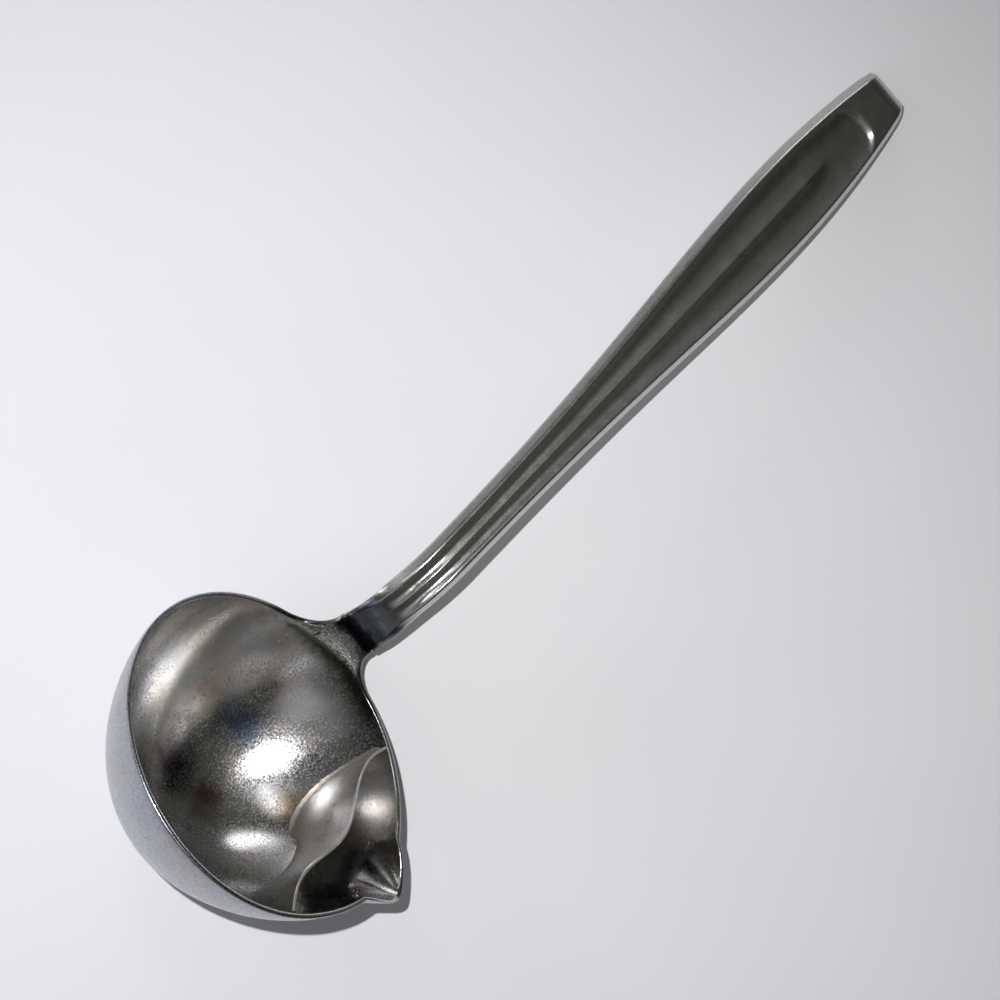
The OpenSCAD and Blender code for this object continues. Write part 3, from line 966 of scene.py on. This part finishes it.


# Sizes and depths are in millimetres. Real scouring scratches are about 0.02 mm wide and the
# frosting between them is finer still, which is too fine to show in the render, so scratches and
# grain are drawn 0.3 to 0.8 mm wide. A pit's size is a share of the pits' spacing.

# Stainless steel, deep drawn and polished, then scoured for years: bright reflections in a fine
# frosting, with coloured patches low in the bowl, painted dark reflections there and on the spout,
# and a greyer, duller outer wall
bowlLook = {
    "tone": "#d3d2d1", "warm": "#b89a74", "cool": "#90a4bc", "grime": "#4a4440",
    "filmSize": 11.0, "filmShare": 0.2,
    "pitSpacing": 1.6, "pitSize": 0.16, "patchSize": 9.0, "pitDepth": 0.03,
    "cloudSize": 7.0, "roughLow": 0.06, "roughHigh": 0.12,
    "scratchStretch": (0.15, 1.0, 1.0), "scratchWidth": 0.35, "scratchDepth": 0.003,
    "grainSize": 0.55, "grainDepth": 0.011,
    "waveSize": 9.0, "waveDepth": 0.05,
    "mottle": 0.3, "frost": 0.26, "metal": 1.0,
    "outerWall": {"tone": "#d6dae2", "rough": 0.1},
    "stainsAndDarkReflection": neckStainsAndDarkReflection,
    "tintsAndDarkReflections": [
        {"place": (28.3, 0.2, -28.8), "radius": 10.0, "tone": "#4f759f", "share": 0.8},
        {"place": (28.0, 5.5, -28.4), "radius": 7.0, "tone": "#34496a", "share": 0.6},
        {"place": (27.1, 13.5, -26.5), "radius": 10.0, "tone": "#7d5a3c", "share": 0.7},
        {"place": (12.5, 6.8, -39.6), "radius": 10.0, "tone": "#3a2840", "share": 0.9},
        {"place": (11.8, -5.8, -40.2), "radius": 9.0, "tone": "#703c34", "share": 0.85},
        # the next two are painted dark reflections of the room, low on the handle side
        {"place": (20.5, 11.0, -34.0), "radius": 12.0, "tone": "#3f3b33", "share": 0.9},
        {"place": (8.0, 12.0, -38.5), "radius": 10.0, "tone": "#4a4436", "share": 0.8},
        {"place": (18.0, -25.0, -25.8), "radius": 8.0, "tone": "#b8975a", "share": 0.7},
        # the last two are painted dark reflections, near black on the spout's two faces
        {"place": (6.0, -43.5, -10.0), "radius": 16.0, "tone": "#121110", "share": 1.0},
        {"place": (-7.0, -41.0, -8.0), "radius": 12.0, "tone": "#2b2320", "share": 0.9},
    ],
}
# The same sheet, pressed into flutes and worn by the hand: a satin metal under a thin dull film,
# with its scratches along the handle
handleLook = {
    "tone": "#c4c3c0", "warm": "#b3a58f", "cool": "#a9b2b8", "grime": "#45413c",
    "filmSize": 14.0, "filmShare": 0.25,
    "pitSpacing": 1.3, "pitSize": 0.2, "patchSize": 7.0, "pitDepth": 0.03,
    "cloudSize": 4.0, "roughLow": 0.14, "roughHigh": 0.23,
    "scratchStretch": (0.04, 1.0, 1.0), "scratchWidth": 0.3, "scratchDepth": 0.004,
    "grainSize": 0.7, "grainDepth": 0.012,
    "waveSize": 8.0, "waveDepth": 0.06,
    "mottle": 0.2, "frost": 0.1, "metal": 0.95,
    "stainsAndDarkReflection": neckStainsAndDarkReflection,
}
# Thin rolled steel, bent and polished by hand: pale, with wide soft reflections
dividerLook = {
    "tone": "#dad9d7", "warm": "#bfa987", "cool": "#aab6c0", "grime": "#4a4440",
    "filmSize": 9.0, "filmShare": 0.35,
    "pitSpacing": 1.8, "pitSize": 0.15, "patchSize": 8.0, "pitDepth": 0.02,
    "cloudSize": 5.0, "roughLow": 0.22, "roughHigh": 0.34,
    "scratchStretch": (0.06, 1.0, 1.0), "scratchWidth": 0.3, "scratchDepth": 0.004,
    "grainSize": 0.8, "grainDepth": 0.01,
    "waveSize": 9.0, "waveDepth": 0.06,
    "mottle": 0.2, "frost": 0.1, "metal": 1.0,
}
# Silver brazing metal, filed smooth: a little yellower than the steel, satin and uneven
brazeLook = {
    "tone": "#d2cdc2", "warm": "#bda67f", "cool": "#b3bac0", "grime": "#55503f",
    "filmSize": 4.0, "filmShare": 0.5,
    "pitSpacing": 0.9, "pitSize": 0.2, "patchSize": 3.0, "pitDepth": 0.04,
    "cloudSize": 2.0, "roughLow": 0.28, "roughHigh": 0.42,
    "scratchStretch": (0.3, 1.0, 1.0), "scratchWidth": 0.4, "scratchDepth": 0.006,
    "grainSize": 0.6, "grainDepth": 0.03,
    "waveSize": 2.5, "waveDepth": 0.08,
    "mottle": 0.2, "frost": 0.1, "metal": 1.0,
}
# Weld bead, ground nearly flush: dark, heat-tinted and rough
weldLook = {
    "tone": "#8d8a86", "warm": "#6a5c4c", "cool": "#5c6a78", "grime": "#1c1b1a",
    "filmSize": 3.0, "filmShare": 0.8,
    "pitSpacing": 0.7, "pitSize": 0.25, "patchSize": 2.5, "pitDepth": 0.05,
    "cloudSize": 1.5, "roughLow": 0.35, "roughHigh": 0.55,
    "scratchStretch": (1.0, 0.3, 1.0), "scratchWidth": 0.4, "scratchDepth": 0.01,
    "grainSize": 0.6, "grainDepth": 0.05,
    "waveSize": 1.6, "waveDepth": 0.1,
    "mottle": 0.2, "frost": 0.1, "metal": 1.0,
    "stainsAndDarkReflection": neckStainsAndDarkReflection,
}

handleSlope = 0.5 * (handleShape["slopeLow"] + handleShape["slopeHigh"])
dividerFinish = wornSteel("polishedSheetSteel", dividerLook)
brazeFinish = wornSteel("silverBraze", brazeLook)
makeBowl(wornSteel("wornPressedSteel", bowlLook))
makeDivider(dividerFinish)
makeBraze("farBraze", "left_braze", -1, brazeFinish)
makeBraze("nearBraze", "right_braze", 1, brazeFinish)
makeWeld(wornSteel("darkWeldSteel", weldLook))
makeHandle(wornSteel("wornFlutedSteel", handleLook, handleSlope))


# The table: smooth white laminate with the faintest cloudiness and hardly any sheen

tableLook = {
    "size": 6,
    "middle": (0.1, 0, 0),
    "white": "#efeff0",
    "whiter": "#f4f4f4",
    "cloudScale": 18,
    "rough": 0.6,
    "sheen": 0.2,
}


def tableFinish():
    look = tableLook
    material, tree, shader = blankFinish("paleLaminate")
    coordinate = addNode(tree, "ShaderNodeTexCoord")
    cloud = addNode(tree, "ShaderNodeTexNoise", values={"Scale": look["cloudScale"], "Detail": 2},
                    links={"Vector": coordinate.outputs["Object"]})
    tone = addNode(tree, "ShaderNodeMix", {"data_type": "RGBA"},
                   {6: linearColour(look["white"]), 7: linearColour(look["whiter"])},
                   {0: cloud.outputs["Fac"]})
    tree.links.new(tone.outputs[2], shader.inputs["Base Color"])
    shader.inputs["Roughness"].default_value = look["rough"]
    shader.inputs["Specular IOR Level"].default_value = look["sheen"]
    return material


def makeTable():
    deselectAll()
    bpy.ops.mesh.primitive_plane_add(size=tableLook["size"], location=tableLook["middle"])
    table = bpy.context.object
    table.name = "paleTable"
    table.data.materials.append(tableFinish())


# Camera at the photograph's viewing angle, given in the bowl's frame

cameraView = {
    "place": (-530.49, 194.99, 527.24),
    "turn": (35.258, -42.853, -63.915),
    "lens": 108.0,
    "sensor": 36.0,
    "nearest": 0.05,
}


def makeCamera():
    data = bpy.data.cameras.new("photoCamera")
    data.lens = cameraView["lens"]
    data.sensor_width = cameraView["sensor"]
    data.clip_start = cameraView["nearest"]
    camera = bpy.data.objects.new("photoCamera", data)
    bpy.context.scene.collection.objects.link(camera)
    turn = Euler([math.radians(angle) for angle in cameraView["turn"]], "XYZ").to_matrix().to_4x4()
    placed = layDown @ Matrix.Translation(cameraView["place"]) @ turn
    place, rotation, _ = placed.decompose()
    camera.location = place
    camera.rotation_euler = rotation.to_euler()
    bpy.context.scene.camera = camera
    return camera


# Room and lights

def direction(azimuth, height):
    turn, rise = math.radians(azimuth), math.radians(height)
    level = math.cos(rise)
    return Vector((math.cos(turn) * level, math.sin(turn) * level, math.sin(rise)))


# the room is a dim warm grey; each zone is lighter or darker round one direction
roomTone = "#44463f"
roomZones = [
    {"azimuth": 110, "height": 62, "inner": 15, "outer": 50, "tone": "#74736f"},
    {"azimuth": -38, "height": 30, "inner": 8, "outer": 26, "tone": "#0c0c0b"},
    {"azimuth": -139, "height": 54, "inner": 8, "outer": 22, "tone": "#323230"},
    {"azimuth": -176, "height": 52, "inner": 5, "outer": 20, "tone": "#b4b3b2"},
    {"azimuth": 112, "height": 47, "inner": 3, "outer": 16, "tone": "#3c3b38"},
]


def makeRoom():
    world = bpy.data.worlds.new("dimRoom")
    bpy.context.scene.world = world
    world.use_nodes = True
    tree = world.node_tree
    tree.nodes.clear()
    ray = addNode(tree, "ShaderNodeTexCoord")
    shade = None
    for zone in roomZones:
        facing = addNode(tree, "ShaderNodeVectorMath", {"operation": "DOT_PRODUCT"},
                         {1: direction(zone["azimuth"], zone["height"])},
                         {0: ray.outputs["Generated"]})
        outer, inner = math.radians(zone["outer"]), math.radians(zone["inner"])
        share = addNode(tree, "ShaderNodeMapRange", {"interpolation_type": "SMOOTHSTEP"},
                        {"From Min": math.cos(outer), "From Max": math.cos(inner),
                         "To Min": 0, "To Max": 1}, {"Value": facing.outputs["Value"]})
        links = {0: share.outputs[0]}
        if shade:
            links[6] = shade.outputs[2]
        shade = addNode(tree, "ShaderNodeMix", {"data_type": "RGBA"},
                        {6: linearColour(roomTone), 7: linearColour(zone["tone"])}, links)
    glow = addNode(tree, "ShaderNodeBackground", links={"Color": shade.outputs[2]})
    addNode(tree, "ShaderNodeOutputWorld", links={"Surface": glow.outputs[0]})


# soft panels, as seen from the ladle: where they stand, how wide and high they look in degrees,
# how many metres away they are, and how bright against white paper
softPanels = [
    {"azimuth": 46, "height": 10, "away": 1.1, "wide": 24, "high": 20,
     "glow": 1.6, "tone": "#fafaff"},
    {"azimuth": 68, "height": 45, "away": 0.5, "wide": 9, "high": 30,
     "glow": 1.2, "tone": "#fcfcff"},
    {"azimuth": 101, "height": 18, "away": 1.1, "wide": 16, "high": 26,
     "glow": 1.7, "tone": "#fafaff"},
    {"azimuth": 150, "height": 24, "away": 1.1, "wide": 30, "high": 24,
     "glow": 1.2, "tone": "#cfd9ff"},
]
panelPower = 4  # watts for each square metre of a panel, at a glow of 1
bowlMiddle = Vector((0.0, 0.0, 0.03))


def panelSpan(panel, angle):
    return 2 * panel["away"] * math.tan(math.radians(panel[angle] / 2))


def makePanels():
    for i, panel in enumerate(softPanels):
        light = bpy.data.lights.new("softPanel%d" % i, "AREA")
        light.shape = "ELLIPSE"
        light.size, light.size_y = panelSpan(panel, "wide"), panelSpan(panel, "high")
        light.energy = panelPower * panel["glow"] * light.size * light.size_y
        light.color = linearColour(panel["tone"])[:3]
        lamp = bpy.data.objects.new(light.name, light)
        bpy.context.scene.collection.objects.link(lamp)
        facing = direction(panel["azimuth"], panel["height"])
        lamp.location = bowlMiddle + panel["away"] * facing
        lamp.rotation_euler = facing.to_track_quat("Z", "Y").to_euler()


# the flash beside the camera: across and up in millimetres, the rest in metres and degrees
flash = {
    "across": -49.5,
    "up": 49.5,
    "radius": 0.005,
    "watts": 19.5,
    "cone": 60.0,
    "softness": 1.0,
    "aim": (-0.012, -0.018, 0.0),
    "tone": "#fbfbff",
}


def makeFlash(camera):
    # a small bright lamp, which throws the crisp shadow
    light = bpy.data.lights.new("smallFlash", "SPOT")
    light.spot_size = math.radians(flash["cone"])
    light.spot_blend = flash["softness"]
    light.energy = flash["watts"]
    light.shadow_soft_size = flash["radius"]
    light.color = linearColour(flash["tone"])[:3]
    lamp = bpy.data.objects.new(light.name, light)
    bpy.context.scene.collection.objects.link(lamp)
    bpy.context.view_layer.update()
    lamp.location = camera.matrix_world @ Vector((flash["across"] / 1000, flash["up"] / 1000, 0))
    lamp.rotation_euler = (lamp.location - Vector(flash["aim"])).to_track_quat("Z", "Y").to_euler()


makeTable()
makeRoom()
makePanels()
makeFlash(makeCamera())
bpy.context.scene.view_settings.view_transform = "Standard"
print("table, room, lights and camera placed")
